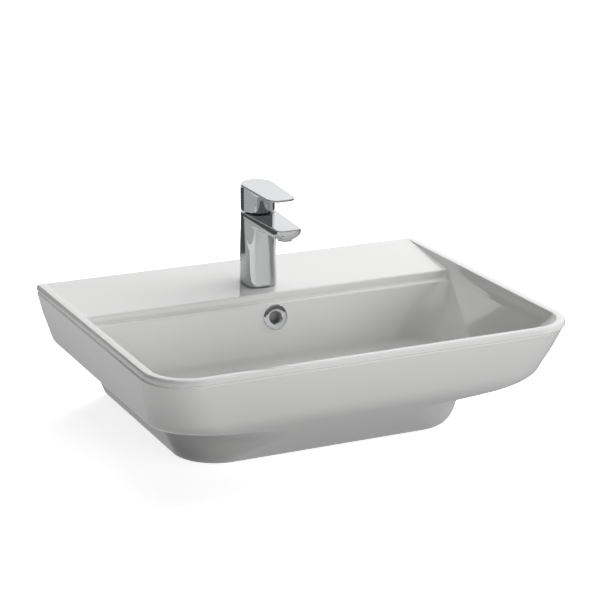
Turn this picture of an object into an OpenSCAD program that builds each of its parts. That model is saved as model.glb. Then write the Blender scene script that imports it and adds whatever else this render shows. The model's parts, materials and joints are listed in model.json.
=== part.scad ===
/* [Basin] */
// Overall width of the basin
basin_w = 600; // [590:1:610]
// Overall depth from the wall to the front of the rim
basin_d = 478; // [472:1:484]
// Height from the foot to the top of the rim
basin_h = 177.5; // [175:0.5:180]
// Thickness of the ceramic walls
wall = 12; // [11:0.5:13]
// Fall of the tap deck from the wall to its front edge, in degrees
deck_fall = 5.4; // [5:0.1:5.8]
// Distance of the deck's front edge from the wall
deck_front = 137.6; // [136:0.2:139]
// Distance between the two wall fixing holes
bolt_spacing = 280; // [240:10:300]
// Diameter of the wall fixing holes
bolt_hole_d = 16; // [12:1:18]

/* [Drain and overflow] */
// Distance of the drain from the wall
drain_y = 282; // [280:1:284]
// Diameter of the drain hole
drain_d = 46; // [45:0.5:47]
// Height of the drain boss, from the seat to its underside
boss_h = 31; // [30:0.5:32]
// Diameter of the overflow hole
overflow_d = 24; // [22:1:25]
// Outer diameter of the overflow ring
ring_d = 36; // [34:1:38]
// How far the plug rises when it is open
plug_travel = 7; // [5:0.5:8]

/* [Tap] */
// Distance of the tap's axis from the wall
tap_y = 92; // [91:0.5:93]
// Diameter of the tap hole in the deck
tap_hole_d = 35; // [34:0.5:36]
// Height of the top of the tap body over the deck
body_h = 105.6; // [105.3:0.1:105.9]
// Distance of the spout's front edge from the tap's axis
spout_reach = 112.5; // [110:0.5:114]
// Height of the lever's seam over the deck
seam_h = 107; // [106.8:0.1:107.2]
// Height of the lever's plate over the deck, at the tap's axis
plate_h = 144.8; // [144.2:0.2:145.4]
// Fall of the lever's plate towards its front, in degrees
plate_fall = 2.3; // [1.8:0.1:2.8]
// Distance of the lever's front edge from the tap's axis
lever_reach = 93.2; // [91:0.2:95]
// Largest lift of the lever, in degrees
lever_lift = 20; // [15:1:20]

/* [Hidden] */

$fn = 64;
// Steps in each plan corner of a ring
corner_steps = 8;
// Reference size that the casting is drawn at before it is brought to its final size
ref_w = 600;
ref_d = 478;
ref_h = 177.5;
// Heights below the top of the rim
seat_z = -123.5;
boss_z = seat_z - boss_h;
overflow_z = -44.5;
bolt_z = -58;
// Height of the deck surface at the tap's axis
deck_z = -tap_y * tan(deck_fall);
// Height of the underside of the tap pad, over the deck surface at the tap's axis
pad_z = -16;
// Pivot of the lever over the deck
pivot_h = 99;
// Distance from the pivot down to the ball of the lever stem
arm = 13;
ball_h = pivot_h - arm;
// Sideways travel of the moving disc for the full lift of the lever
disc_travel = arm * sin(lever_lift);
// Floor of the cartridge's bore over the deck
floor_h = 66;
// Distance of the aerator's axis from the tap's axis, and height of its rim over the deck
aerator_y = 93;
aerator_h = 84.6;
// Diameter of the aerator's thread
aerator_d = 18;
chrome = [0.78, 0.79, 0.80];
brass = [0.76, 0.65, 0.38];
rubber = [0.15, 0.15, 0.16];
steel = [0.62, 0.63, 0.65];

// ---- paths and rings ----

// Unit vector from a to b
function unit(a, b) = (b - a) / norm(b - a);

// The normal on the left of the step from a to b
function left(a, b) = let (u = unit(a, b)) [-u[1], u[0]];

// A path moved sideways by t, with sharp corners kept sharp
function moved(path, t) = [
    for (i = [0:len(path) - 1])
        let (n1 = i > 0 ? left(path[i - 1], path[i]) : left(path[0], path[1]))
        let (n2 = i < len(path) - 1 ? left(path[i], path[i + 1]) : n1)
        path[i] + (n1 + n2) * t / (1 + n1 * n2)
];

// The n + 1 points of the arc of radius r that rounds corner b between a and c
function rounded(a, b, c, r, n) =
    let (u = unit(b, a), v = unit(b, c))
    let (half = acos(u * v) / 2, turn = 180 - 2 * half)
    let (centre = b + (u + v) / norm(u + v) * r / sin(half))
    let (s = b + u * r / tan(half) - centre, e = b + v * r / tan(half) - centre)
    [for (i = [0:n]) let (w = turn * i / n) centre + (s * sin(turn - w) + e * sin(w)) / sin(turn)];

// The points of segment a-b that lie at the listed heights
function at_heights(a, b, heights) = [
    for (z = heights) [a[0] + (b[0] - a[0]) * (z - a[1]) / (b[1] - a[1]), z]
];

// A closed ring: a rounded rectangle with its own height at its back, sides and front.
// half is its half width, front and back are distances from the wall
function ring(half, front, back, r_front, r_back, z_side, z_front, z_back) =
    let (n = corner_steps)
    let (right = concat(
        [[0, -back, z_back]],
        [for (i = [0:n]) let (t = 90 * i / n) [
            half - r_back + r_back * sin(t),
            -back - r_back + r_back * cos(t),
            z_back + (z_side - z_back) * i / n]],
        [[half, -(back + r_back + front - r_front) / 2, z_side]],
        [for (i = [0:n]) let (t = 90 * i / n) [
            half - r_front + r_front * cos(t),
            -front + r_front - r_front * sin(t),
            z_side + (z_front - z_side) * i / n]],
        [[0, -front, z_front]]))
    concat(right, [for (i = [len(right) - 2:-1:1]) [-right[i][0], right[i][1], right[i][2]]]);

// Mean of a ring's points
function middle(points) = [for (p = points) 1] * points / len(points);

// A closed solid through rings that are listed from the top down
module loft(rings) {
    n = len(rings[0]);
    m = len(rings);
    up = [for (j = [m - 1:-1:0]) rings[j]];
    points = concat([for (r = up) each r], [middle(up[0]), middle(up[m - 1])]);
    sides = [for (j = [0:m - 2], i = [0:n - 1]) let (k = (i + 1) % n) each [
        [j * n + i, j * n + k, (j + 1) * n + k],
        [j * n + i, (j + 1) * n + k, (j + 1) * n + i]]];
    floor = [for (i = [0:n - 1]) [m * n, (i + 1) % n, i]];
    top = [for (i = [0:n - 1]) [m * n + 1, (m - 1) * n + i, (m - 1) * n + (i + 1) % n]];
    polyhedron(points, concat(sides, floor, top));
}

// Everything drawn in the frame of the rim: z = 0 on the rim, y = 0 on the wall
module at_rim() translate([0, basin_d / 2, basin_h]) children();

// Everything drawn in the frame of the tap: z = 0 on the deck at the tap's axis
module at_tap() at_rim() translate([0, -tap_y, deck_z]) children();

// Everything drawn in the frame of the drain: z = 0 on the ceramic seat
module at_drain() at_rim() translate([0, -drain_y, seat_z]) children();

module tube(d_out, d_in, h) difference() {
    cylinder(d = d_out, h = h);
    translate([0, 0, -1]) cylinder(d = d_in, h = h + 2);
}

// ---- basin ----

// Outer side and front, as [distance from the middle or the wall, height]
outer_side = [[299.7, -12], [292.2, -42], [274.4, -96], [232.4, -101], [202, -177.5]];
outer_front = [[472.6, -12], [441.5, -85], [327.3, -177.5]];
outer_radii = [[-177.5, 62], [-112, 146], [-98, 78], [-69, 67], [-10, 63]];

// Rings of the outer form, moved inwards by t; a hollow's rings run on below the foot
function outer_rings(t) =
    let (s = moved(outer_side, -t), f = moved(outer_front, -t), foot = t > 0 ? -ref_h - 2 : -ref_h)
    let (s1 = rounded(s[1], s[2], s[3], 27 - t / 2, 5), s2 = rounded(s[2], s[3], s[4], 15 + t / 2, 4))
    let (f1 = rounded(f[0], f[1], f[2], 70 - t, 5))
    let (low = concat([for (p = s2) p[1]], [-130, -152, foot]))
    let (side = concat([s[0], s[1]], at_heights(s[1], s[2], [-64]), s1, s2,
        at_heights(s[3], s[4], [-130, -152, foot])))
    let (front = concat([f[0]], at_heights(f[0], f[1], [s[1][1], -58]), f1, at_heights(f[1], f[2], low)))
    let (back = t > 0 ? wall + 2 : 0)
    [for (i = [0:len(side) - 1])
        ring(side[i][0], front[i][0], back, lookup((side[i][1] + front[i][1]) / 2, outer_radii) + t,
            2, side[i][1], front[i][1], side[i][1])];

// The rim's section: inset of the side, inset of the front, height
rim_section = [
    [2.9, 3.5, 0], [1.6, 2.0, -0.4], [0.6, 0.8, -1.4], [0, 0, -3.2], [0, 0, -6.8], [0.3, 0.8, -7.7],
    [1.3, 3.6, -8.3], [1.9, 6.0, -9.2], [1.5, 6.4, -10.4]
];
function rim_rings() = [
    for (p = rim_section) ring(ref_w / 2 - p[0], ref_d - p[1], 0, 64, 2, p[2], p[2], p[2])
];

// Inner edge of the rim, and the bowl's walls and floor
bowl_side = [[286.8, -2.2], [282.6, -14], [219.5, -105.5], [34, -120]];
bowl_front = [[464.7, -2.2], [460.5, -14], [393, -112], [drain_y + 34, -120]];
bowl_back = [[148.3, -27.7], [163.5, -111], [drain_y - 34, -120]];
back_radii = [[-106, 46], [-60, 42], [-34, 22], [-20, 9], [-12, 4], [0, 3]];
front_radii = [[-106, 120], [-60, 74], [0, 50]];
deck_slope = tan(deck_fall);

// Half width of a path at height z
function at_path(path, z) = lookup(z, [for (i = [len(path) - 1:-1:0]) [path[i][1], path[i][0]]]);

// A level ring of the bowl
function bowl_ring(half, front, back, z) =
    ring(half, front, back, lookup(z, front_radii), lookup(z, back_radii), z, z, z);

// Rings of the deck and the bowl, from the top of the rim down to the drain
function bowl_rings() =
    let (lip_top = -deck_front * deck_slope)
    let (lip = rounded([deck_front - 30, lip_top + 30 * deck_slope], [deck_front, lip_top],
        [deck_front, lip_top - 20], 2.8, 3))
    let (ledge = rounded([deck_front, -14], [deck_front, -24.2], [deck_front + 9, -24.6], 4, 3))
    let (step = rounded([deck_front + 3, -24.4], [bowl_back[0][0] - 0.2, -24.6], bowl_back[1], 4, 3))
    let (edge = [[3, 3.2], [0, 2.2], [-0.3, 1.1], [-1, 0.35], [-2.2, 0]])
    let (levels = [-5, -8, -11])
    let (walls = [-42, -60, -78])
    let (heights = concat([for (p = lip) p[1]], [for (p = ledge) p[1]], [for (p = step) p[1]], walls))
    let (side = rounded(bowl_side[0], bowl_side[1], bowl_side[2], 60, 6))
    let (side_path = concat([bowl_side[0]], side, at_heights(bowl_side[1], bowl_side[2], [-40, -80])))
    let (shift = bowl_front[0][0] - bowl_side[0][0])
    let (a = rounded(bowl_side[1], bowl_side[2], bowl_side[3], 32, 5))
    let (f = rounded(bowl_front[1], bowl_front[2], bowl_front[3], 32, 5))
    let (b = rounded(bowl_back[0], bowl_back[1], bowl_back[2], 25, 5))
    let (backs = concat([for (p = lip) p[0]], [for (p = ledge) p[0]], [for (p = step) p[0]],
        [for (p = at_heights(bowl_back[0], bowl_back[1], walls)) p[0]]))
    concat(
        [for (e = edge) bowl_ring(bowl_side[0][0] + e[1], bowl_front[0][0] + e[1],
            -e[0] / deck_slope, e[0])],
        [for (z = levels) bowl_ring(at_path(side_path, z), at_path(side_path, z) + shift,
            -z / deck_slope, z)],
        [for (i = [0:len(heights) - 1]) bowl_ring(at_path(side_path, heights[i]),
            at_path(side_path, heights[i]) + shift, backs[i], heights[i])],
        [for (i = [0:5]) ring(a[i][0], f[i][0], b[i][0], 118 + 2 * i, 46 - 1.6 * i,
            a[i][1], f[i][1], b[i][1])],
        [for (w = [0.25, 0.5, 0.75, 1]) let (v = 1 - w)
            ring(a[5][0] * v + 34 * w, f[5][0] * v + (drain_y + 34) * w, b[5][0] * v + (drain_y - 34) * w,
                128 * v + 34 * w, 38 * v + 34 * w,
                a[5][1] * v - 120 * w, f[5][1] * v - 120 * w, b[5][1] * v - 120 * w)]);

// Rings of the outer skin of the bowl and the deck, one wall thickness outside the bowl
function shell_rings() =
    let (s = moved(bowl_side, wall), f = moved(bowl_front, wall))
    let (a = rounded(s[1], s[2], s[3], 32 + wall, 4), c = rounded(f[1], f[2], f[3], 32 + wall, 4))
    let (b0 = [deck_front - wall, -deck_front * deck_slope - wall])
    let (b1 = [150, -118], b2 = [drain_y - 40, -132])
    let (b = rounded(b0, b1, b2, 25 + wall, 4))
    let (top = ring(s[0][0] + 2, f[0][0] + 2, -20, 60, 10, 2, 2, 20 * deck_slope - wall))
    let (mid = ring(s[1][0], f[1][0], b0[0], 60, 12, -14, -14, b0[1]))
    concat([top, mid],
        [ring(s[1][0] * 0.6 + s[2][0] * 0.4, f[1][0] * 0.6 + f[2][0] * 0.4, b0[0] * 0.6 + b1[0] * 0.4,
            82, 40, -50, -52, -58)],
        [for (i = [0:4]) ring(a[i][0], c[i][0], b[i][0], 136, 52, a[i][1], c[i][1], b[i][1])],
        [ring(34, drain_y + 34, drain_y - 34, 34, 34, -132, -132, -132)]);

// Middle line of the overflow channel behind and under the bowl, as [distance from the wall, height]
duct_line = [[133, -26], [145, -97], [157, -118], [181, -131], [drain_y - 24, -137]];

// A slab that follows the channel's middle line, half_t to each side of it
module duct(half_t, width) rotate([90, 0, -90]) linear_extrude(width, center = true) polygon(concat(
    [for (p = moved(duct_line, half_t)) p],
    [for (i = [len(duct_line) - 1:-1:0]) moved(duct_line, -half_t)[i]]));

// The casting before its holes are cut
module casting() difference() {
    loft(concat(rim_rings(), outer_rings(0)));
    difference() {
        loft(outer_rings(wall));
        loft(shell_rings());
        translate([0, -drain_y, boss_z]) cylinder(d = 72, h = 40, $fn = 40);
        intersection() {
            duct(12.5, 40);
            loft(outer_rings(0));
        }
        translate([0, -tap_y, deck_z + pad_z]) cylinder(d = 64, h = 30, $fn = 40);
        for (s = [-1, 1]) translate([s * bolt_spacing / 2, -wall - 8, bolt_z])
            rotate([-90, 0, 0]) cylinder(d = 44, h = 20, $fn = 32);
    }
    loft(bowl_rings());
    translate([-178, -wall - 3, -ref_h - 1]) cube([356, wall + 4, ref_h - 87]);
}

module basin() color([0.95, 0.95, 0.94]) at_rim() difference() {
    resize([basin_w, basin_d, basin_h]) casting();
    translate([0, -drain_y, seat_z]) cylinder(d = 66, h = 20);
    translate([0, -drain_y, boss_z - 20]) cylinder(d = drain_d, h = boss_h + 30);
    translate([0, -drain_y, boss_z + 9]) cylinder(d = drain_d + 9, h = 13);
    duct(5, 24);
    translate([0, -tap_y, deck_z - 40]) cylinder(d = tap_hole_d, h = 60);
    translate([0, -deck_front - 40, overflow_z]) rotate([-90, 0, 0]) cylinder(d = overflow_d, h = 44);
    for (s = [-1, 1]) translate([s * bolt_spacing / 2, -60, bolt_z]) rotate([-90, 0, 0])
        cylinder(d = bolt_hole_d, h = 70);
}

// Tilt of the bowl's back wall, in degrees from upright
wall_lean = atan((bowl_back[1][0] - bowl_back[0][0]) / (bowl_back[0][1] - bowl_back[1][1]));
// Distance of the bowl's back wall from the wall plane at the overflow's height
overflow_y = bowl_back[0][0] + (bowl_back[0][1] - overflow_z) * tan(wall_lean);

module overflow_ring() color(chrome) at_rim() translate([0, -overflow_y - 0.3, overflow_z])
    rotate([90 - wall_lean, 0, 0]) rotate_extrude() polygon([
        [9, -4], [10.6, -4], [10.6, 0.1], [ring_d / 2, 0.1], [ring_d / 2, 0.7],
        [ring_d / 2 - 1, 1.7], [ring_d / 2 - 3, 2.3], [10.5, 2.3], [9, 1.2]]);

// ---- basin waste, in the frame of the drain ----

module waste_body() color(chrome) at_drain() difference() {
    union() {
        rotate_extrude() polygon([
            [18, -53], [20.95, -53], [20.95, -47.5], [20.2, -47.5], [20.2, -46.6], [20.95, -46.6],
            [20.95, 1.5], [31.5, 1.5], [31.5, 3.6], [30.5, 4.3], [25, 4.3], [21.5, 2.6], [18, 2.6]]);
        translate([0, 0, -26]) cylinder(d = 17, h = 5);
        for (t = [0:60:300]) rotate(t) translate([7, -1.5, -26]) cube([12, 3, 5]);
    }
    translate([0, 0, -30]) cylinder(d = 10, h = 12);
    for (t = [30:60:330]) rotate(t) translate([15, -6, -20]) cube([10, 12, 8]);
}

module waste_upper_seal() color(rubber) at_drain() tube(60, 42.2, 1.5);

module waste_lower_seal() color(rubber) at_drain() translate([0, 0, -boss_h - 6]) rotate_extrude()
    polygon([[21.1, 0], [29, 0], [29, 3], [27, 6], [21.1, 6]]);

module waste_washer() color([0.92, 0.92, 0.92]) at_drain()
    translate([0, 0, -boss_h - 7.5]) tube(58, 42.3, 1.5);

module waste_nut() color(brass) at_drain() translate([0, 0, -boss_h - 15.5]) difference() {
    union() {
        cylinder(d = 56, h = 8, $fn = 8);
        translate([0, 0, 6]) cylinder(d = 57.5, h = 2);
    }
    translate([0, 0, -1]) cylinder(d = 41.98, h = 10);
}

module plug_cap() color(chrome) at_drain() rotate_extrude() polygon([
    [0, 4.9], [26, 4.9], [29.5, 5.2], [30.2, 6], [29.6, 6.8], [22, 8.4], [11, 9.3], [0, 9.6]]);

module plug_seal() color(rubber) at_drain() translate([0, 0, 3.1]) difference() {
    cylinder(d = 34, h = 1.8);
    translate([0, 0, -1]) cylinder(d = 10, h = 4);
}

module plug_plunger() color(steel) at_drain() translate([0, 0, -17]) union() {
    cylinder(d = 6, h = 21.9);
    cylinder(d = 7.4, h = 3);
}

module plug_sleeve() color([0.92, 0.92, 0.92]) at_drain() translate([0, 0, -34]) union() {
    difference() {
        cylinder(d = 9.96, h = 28);
        translate([0, 0, 2]) cylinder(d = 7.6, h = 30);
    }
    translate([0, 0, 13]) tube(14, 9.9, 2);
}

// A helix of round wire, as one solid
module coil(r, wire, h, turns) {
    per_turn = 14;
    n = 6;
    m = turns * per_turn;
    points = [for (j = [0:m], i = [0:n - 1]) let (t = 360 * j / per_turn, w = 360 * i / n)
        [(r + wire / 2 * cos(w)) * cos(t), (r + wire / 2 * cos(w)) * sin(t), h * j / m + wire / 2 * sin(w)]];
    sides = [for (j = [0:m - 1], i = [0:n - 1]) let (k = (i + 1) % n)
        [j * n + i, (j + 1) * n + i, (j + 1) * n + k, j * n + k]];
    polyhedron(points, concat(sides, [[for (i = [0:n - 1]) i]], [[for (i = [n - 1:-1:0]) m * n + i]]));
}

module plug_spring() color(steel) at_drain() translate([0, 0, -31.4]) coil(3, 0.7, 13.6, 7);

// ---- mixer tap, in the frame of the tap ----

// The four corners of a square plan of width w, for a hull to join
module corners(w, r, z) for (x = [-1, 1], y = [-1, 1])
    translate([x * (w / 2 - r), y * (w / 2 - r), z]) cylinder(r = r, h = 1, $fn = 40);

// A thin section of the spout at distance y from the tap's axis, for a hull to join. Its underside
// bulges from the lower edges of its sides down to its middle line.
module spout_section(y, half, top, side, bottom) translate([0, -y, 0]) rotate([90, 0, 0])
    linear_extrude(0.2) polygon([
        for (i = [-8:8]) [half * i / 8, bottom + (side - bottom) * pow(i / 8, 2)],
        [half, top - 2], [half - 0.6, top - 0.6], [half - 2, top],
        [2 - half, top], [0.6 - half, top - 0.6], [-half, top - 2]
    ]);

// Column and spout before their bores are cut
module tap_form() {
    hull() {
        corners(49, 18, -2.6);
        corners(48, 19, 40);
    }
    hull() {
        corners(48, 19, 40);
        translate([0, 0, body_h - 1.5]) cylinder(r = 24.1, h = 0.5);
        translate([0, 0, body_h - 0.5]) cylinder(r = 23.4, h = 0.5);
    }
    hull() {
        spout_section(12, 23.6, body_h - 0.3, 96.5, 79);
        spout_section(spout_reach - 12.2, 18.6, 103.1, 91.2, 84);
        spout_section(spout_reach - 4.2, 17.2, 102.9, 94.2, 89);
        spout_section(spout_reach - 0.2, 13.4, 102.2, 99.6, 98);
    }
}

module tap_body() color(chrome) at_tap() difference() {
    resize([49, spout_reach + 24.5, body_h + 2.6]) tap_form();
    // the foot follows the fall of the deck
    translate([0, 0, 1.6]) rotate([deck_fall, 0, 0]) translate([-40, -40, -20]) cube([80, 80, 20]);
    translate([0, 0, -5]) cylinder(d = 33, h = 8);
    // cartridge bore and its thread
    translate([0, 0, floor_h]) cylinder(d = 25.4, h = 60);
    translate([0, 0, 94.6]) cylinder(d = 30.02, h = 20);
    // hot and cold ways, with their threaded inlets
    for (s = [-1, 1]) {
        translate([s * 8, -3, -10]) cylinder(d = 10, h = 24);
        translate([s * 6.4, 1, 12]) cylinder(d = 6, h = 60);
    }
    // fixing stud
    translate([0, 11, -10]) cylinder(d = 8, h = 28);
    // mixed way: down, forwards and up through the front of the column, then along the spout
    translate([0, -7, 56]) cylinder(d = 6, h = 14);
    translate([-8.2, -20, 55]) cube([16.4, 16, 6.5]);
    for (s = [-1, 1]) translate([s * 4.7, -17.6, 56]) cylinder(d = 6.2, h = 34);
    translate([-7, -20.5, 86]) cube([14, 5.8, 6.5]);
    translate([0, -17, 90.5]) rotate([90, 0, 0]) cylinder(d = 7, h = aerator_y - 17);
    // aerator thread, and the seat for its rim
    translate([0, -aerator_y, 75]) cylinder(d = aerator_d + 0.02, h = aerator_h - 75 + 11);
    translate([0, -aerator_y, 75]) cylinder(d = aerator_d + 2.6, h = aerator_h - 75 + 1.4);
}

module tap_base_seal() color(rubber) at_tap() rotate([deck_fall, 0, 0]) tube(45, 36, 1.55);

module fixing_stud() color(steel) at_tap() translate([0, 11, -56]) cylinder(d = 7.98, h = 73);

module fixing_seal() color(rubber) at_tap() translate([0, 0, pad_z - 3]) horseshoe(50, 3);

module fixing_plate() color(steel) at_tap() translate([0, 0, pad_z - 5.5]) horseshoe(48, 2.5);

// A disc with a hole for the stud and a slot that the inlets pass through
module horseshoe(d, h) difference() {
    cylinder(d = d, h = h);
    translate([0, 11, -1]) cylinder(d = 8.6, h = h + 2);
    translate([-15, -60, -1]) cube([30, 62, h + 2]);
}

module fixing_nut() color(brass) at_tap() translate([0, 11, pad_z - 25.5]) difference() {
    cylinder(d = 15, h = 20, $fn = 6);
    translate([0, 0, -1]) cylinder(d = 8, h = 22);
}

// Places of the hot, cold and mixed ports
ports = [[-6.4, 1], [6.4, 1], [0, -7]];

module cartridge_seals() color(rubber) at_tap() for (p = ports)
    translate([p[0], p[1], floor_h]) tube(9 - 0.3, 6.4, 1.2);

module cartridge_base() color([0.92, 0.92, 0.92]) at_tap() translate([0, 0, floor_h]) difference() {
    cylinder(d = 25.2, h = 5);
    for (p = ports) translate([p[0], p[1], -1]) {
        cylinder(d = 9, h = 2.2);
        cylinder(d = 5, h = 10);
    }
}

module cartridge_housing() color([0.92, 0.92, 0.92]) at_tap() translate([0, 0, floor_h + 5]) difference() {
    cylinder(d = 25.2, h = 23.4);
    translate([0, 0, -1]) cylinder(d = 21, h = 22);
    translate([0, 0, -1]) cylinder(d = 15, h = 30);
}

module disc_fixed() color([0.96, 0.96, 0.93]) at_tap() translate([0, 0, floor_h + 5]) difference() {
    cylinder(d = 20.9, h = 3.5);
    for (p = ports) translate([p[0], p[1] * 0.9, -1]) cylinder(d = 4.6, h = 6);
}

module disc_moving() color([0.96, 0.96, 0.93]) at_tap() translate([0, disc_travel / 2, floor_h + 8.52])
    difference() {
        cylinder(d = 15.8, h = 4);
        translate([0, 0, -1]) cylinder(d = 9, h = 3);
    }

module disc_carrier() color([0.25, 0.35, 0.6]) at_tap() translate([0, disc_travel / 2, floor_h + 12.52])
    difference() {
        cylinder(d = 15.4, h = 10);
        translate([0, -disc_travel / 2, 3]) cylinder(d = 6.1, h = 10);
    }

module cartridge_rotor() color([0.92, 0.92, 0.92]) at_tap() difference() {
    union() {
        translate([0, 0, floor_h + 23.4]) cylinder(d = 20.8, h = 2.5);
        translate([0, 0, floor_h + 25]) cylinder(d = 14.9, h = 12.5);
    }
    translate([-3.2, -6.2, 80]) cube([6.4, 12.4, 30]);
    translate([0, 0, pivot_h]) rotate([0, 90, 0]) cylinder(d = 3, h = 20, center = true);
}

module fulcrum_pin() color(steel) at_tap() translate([0, 0, pivot_h]) rotate([0, 90, 0])
    cylinder(d = 2.98, h = 13.6, center = true);

module lever_stem() color(steel) at_tap() difference() {
    union() {
        translate([0, 0, ball_h]) sphere(d = 5.9);
        translate([0, 0, ball_h]) cylinder(d = 4.2, h = 9);
        translate([-3, -3, ball_h + 8]) cube([6, 6, 126 - ball_h - 8]);
    }
    translate([0, 0, pivot_h]) rotate([0, 90, 0]) cylinder(d = 3.06, h = 20, center = true);
}

module cartridge_nut() color(brass) at_tap() rotate_extrude() polygon([
    [7.9, 94.8], [14.98, 94.8], [14.98, 106], [12, 106], [7.9, 97]]);

module dome_ring() color(chrome) at_tap() difference() {
    intersection() {
        translate([0, 0, pivot_h]) sphere(r = 21.5);
        translate([0, 0, body_h + 0.3]) cylinder(r = 30, h = 2.6);
    }
    translate([0, 0, body_h]) cylinder(d = 30.04, h = 20);
}

// Skirt and plate of the lever before their sockets are cut
module lever_form() {
    translate([0, 0, seam_h]) cylinder(r = 24.2, h = 134 - seam_h);
    hull() {
        translate([0, 0, 133]) cylinder(r = 24.2, h = 1);
        plate_disc(0, 0, 24.2);
    }
    hull() {
        translate([0, -1, 132]) cylinder(r = 21, h = 8, $fn = 48);
        plate_disc(0, 0, 24.2);
        for (s = [-1, 1]) {
            plate_disc(s * 6.2, -40, 16);
            plate_disc(s * 4.8, 16 - lever_reach, 16);
        }
    }
}

// A disc of radius r in the top of the sloping plate, with a rounded upper edge
module plate_disc(x, y, r) translate([0, 0, plate_h]) rotate([plate_fall, 0, 0]) translate([x, y, 0]) {
    translate([0, 0, -2.2]) cylinder(r = r, h = 1);
    translate([0, 0, -1]) cylinder(r = r - 1.2, h = 1);
}

module lever() color(chrome) at_tap() difference() {
    resize([48.4, lever_reach + 24.2, plate_h + 23 * sin(plate_fall) - seam_h]) lever_form();
    // pocket round the cartridge's dome, hollow above it, and the relief that lets the skirt tilt
    difference() {
        union() {
            translate([0, 0, pivot_h]) sphere(r = 22.1);
            translate([0, 0, pivot_h + 14]) cylinder(r = 19, h = 25);
        }
        translate([0, 0, 109.4]) cylinder(d = 13, h = 40);
        translate([-5, 0, 115]) cube([10, 22, 10]);
    }
    translate([-30, 1, seam_h - 0.01]) rotate([lever_lift + 1, 0, 0])
        translate([0, 0, -20]) cube([60, 40, 20]);
    // socket for the stem, and the tapped hole for the grub screw
    translate([-3.05, -3.05, 100]) cube([6.1, 6.1, 26.1]);
    translate([0, 1, 119]) rotate([-90, 0, 0]) cylinder(d = 5, h = 40);
    translate([0, 20, 119]) rotate([-90, 0, 0]) cylinder(d = 8, h = 10);
}

module set_screw() color(steel) at_tap() translate([0, 3.02, 119]) rotate([-90, 0, 0]) difference() {
    cylinder(d = 4.98, h = 12);
    translate([0, 0, 8]) cylinder(d = 2.9, h = 6, $fn = 6);
}

module index_cap() color([0.55, 0.56, 0.57]) at_tap() translate([0, 20.1, 119]) rotate([-90, 0, 0])
    cylinder(d = 7.9, h = 3.4);

module aerator_shell() color(chrome) at_tap() translate([0, -aerator_y, aerator_h]) difference() {
    union() {
        cylinder(d = aerator_d, h = 9);
        cylinder(d = aerator_d + 2, h = 1.2);
    }
    translate([0, 0, -1]) cylinder(d = aerator_d - 4.5, h = 12);
    translate([0, 0, 1.5]) cylinder(d = aerator_d - 3, h = 12);
}

module aerator_insert() color([0.85, 0.85, 0.85]) at_tap() translate([0, -aerator_y, aerator_h + 1.6])
    difference() {
        cylinder(d = aerator_d - 3.1, h = 7.3);
        for (x = [-5:2.5:5], y = [-5:2.5:5]) if (norm([x, y]) < 6)
            translate([x, y, -1]) cylinder(d = 1.5, h = 10);
    }

module aerator_washer() color(rubber) at_tap() translate([0, -aerator_y, aerator_h + 9]) tube(17, 12, 1.8);

basin();
overflow_ring();
waste_body();
waste_upper_seal();
waste_lower_seal();
waste_washer();
waste_nut();
plug_cap();
plug_seal();
plug_plunger();
plug_sleeve();
plug_spring();
tap_body();
tap_base_seal();
fixing_stud();
fixing_seal();
fixing_plate();
fixing_nut();
cartridge_seals();
cartridge_base();
cartridge_housing();
disc_fixed();
disc_moving();
disc_carrier();
cartridge_rotor();
fulcrum_pin();
lever_stem();
cartridge_nut();
dome_ring();
lever();
set_screw();
index_cap();
aerator_shell();
aerator_insert();
aerator_washer();
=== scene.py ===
"""Washbasin with a single-lever mixer: glazed and chromed forms, finishes, light and camera."""

import json
import logging
import math
from dataclasses import dataclass
from enum import Enum
from typing import Callable, ClassVar, Iterable, Sequence

import bmesh
import bpy
import numpy as np
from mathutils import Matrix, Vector


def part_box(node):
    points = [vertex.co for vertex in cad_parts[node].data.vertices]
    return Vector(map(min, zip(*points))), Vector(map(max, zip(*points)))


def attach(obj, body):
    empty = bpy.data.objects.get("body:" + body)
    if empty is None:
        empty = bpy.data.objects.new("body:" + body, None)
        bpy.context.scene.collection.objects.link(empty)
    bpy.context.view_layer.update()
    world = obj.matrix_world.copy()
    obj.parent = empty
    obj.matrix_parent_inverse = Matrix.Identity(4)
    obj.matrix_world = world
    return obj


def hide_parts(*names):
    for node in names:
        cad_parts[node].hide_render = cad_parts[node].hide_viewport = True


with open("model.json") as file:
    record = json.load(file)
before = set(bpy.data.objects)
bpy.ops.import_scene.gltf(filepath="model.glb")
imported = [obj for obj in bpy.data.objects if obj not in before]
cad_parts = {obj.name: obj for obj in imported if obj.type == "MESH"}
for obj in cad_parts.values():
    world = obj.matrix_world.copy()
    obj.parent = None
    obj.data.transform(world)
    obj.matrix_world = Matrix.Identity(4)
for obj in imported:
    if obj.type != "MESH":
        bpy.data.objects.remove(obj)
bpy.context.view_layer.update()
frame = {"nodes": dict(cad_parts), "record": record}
LOG = logging.getLogger("washbasin")

Flat = tuple[float, float]
Point = tuple[float, float, float]
Values = np.ndarray | float
Form = Callable[[np.ndarray, np.ndarray, np.ndarray], np.ndarray]
MM = 0.001
WELD = 1e-6
SLIVER = 1e-7
AIM = (0.0, 0.0, 0.12)
DECK_FALL = math.radians(5.4)


# ---- frames -------------------------------------------------------------------------------


@dataclass(frozen=True)
class Frame:
    """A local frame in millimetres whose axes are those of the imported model.

    Args:
        x: Place of its origin along X, in metres.
        y: Place of its origin along Y, in metres.
        z: Place of its origin along Z, in metres.
    """

    x: float
    y: float
    z: float

    def place(self, point: Sequence[float]) -> Vector:
        """The point in metres in the model's frame.

        Args:
            point: A point in millimetres in this frame.

        Returns:
            The same point in metres.
        """
        return Vector((self.x + point[0] * MM, self.y + point[1] * MM, self.z + point[2] * MM))


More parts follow.
